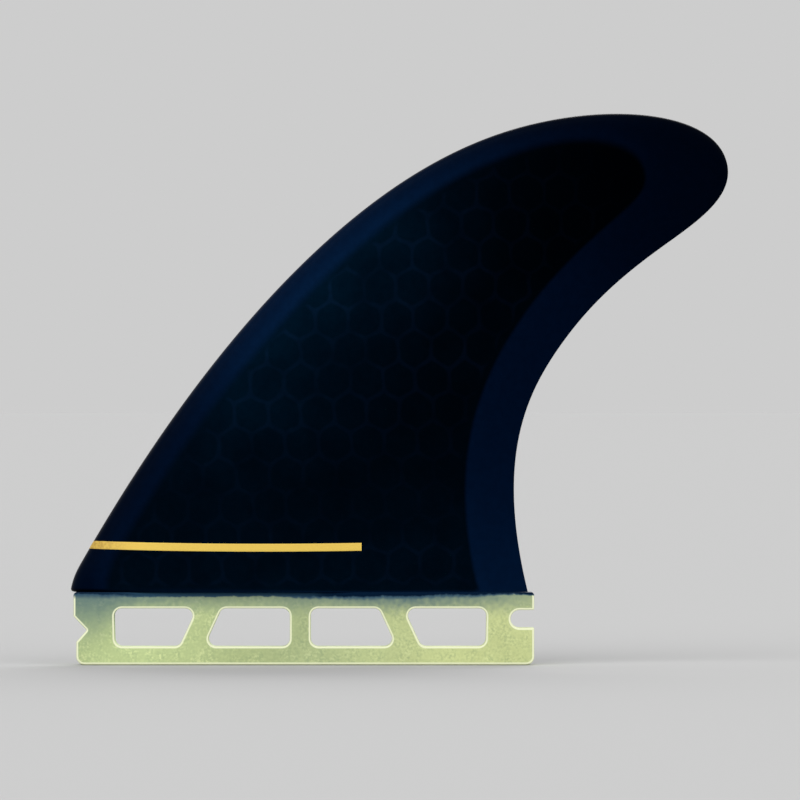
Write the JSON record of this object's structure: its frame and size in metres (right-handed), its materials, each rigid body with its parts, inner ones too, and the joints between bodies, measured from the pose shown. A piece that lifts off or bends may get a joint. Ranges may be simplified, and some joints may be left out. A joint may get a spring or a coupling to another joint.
{
  "type": "surfboard fin",
  "caption": "Raked surfboard side fin: curved outer face, flat inner face, honeycomb core under navy laminate, gold stripe, and a long base tab with windows, front notch and rear pin slot.",
  "frame": {"origin": "middle of the base tab's foot, where the tab seats on the floor of the fin box", "axes": "+X from the leading edge to the trailing edge, +Y from the curved outer face to the flat inner face, +Z from the foot of the tab up to the tip"},
  "size_m": [0.1646, 0.0082, 0.1378],
  "materials": {
    "navy_laminate": "clear gloss over navy glass-fibre laminate",
    "core_sheet": "matt resin-soaked honeycomb sheet",
    "bare_glass_fibre": "raw moulded glass fibre, satin, with fibre mottling",
    "gold_foil": "satin gold stripe under clear gloss"
  },
  "bodies": {
    "root": {"blade": "navy_laminate", "honeycomb_core": "core_sheet", "base_tab": "bare_glass_fibre", "gold_stripe": "gold_foil"}
  },
  "joints": []
}
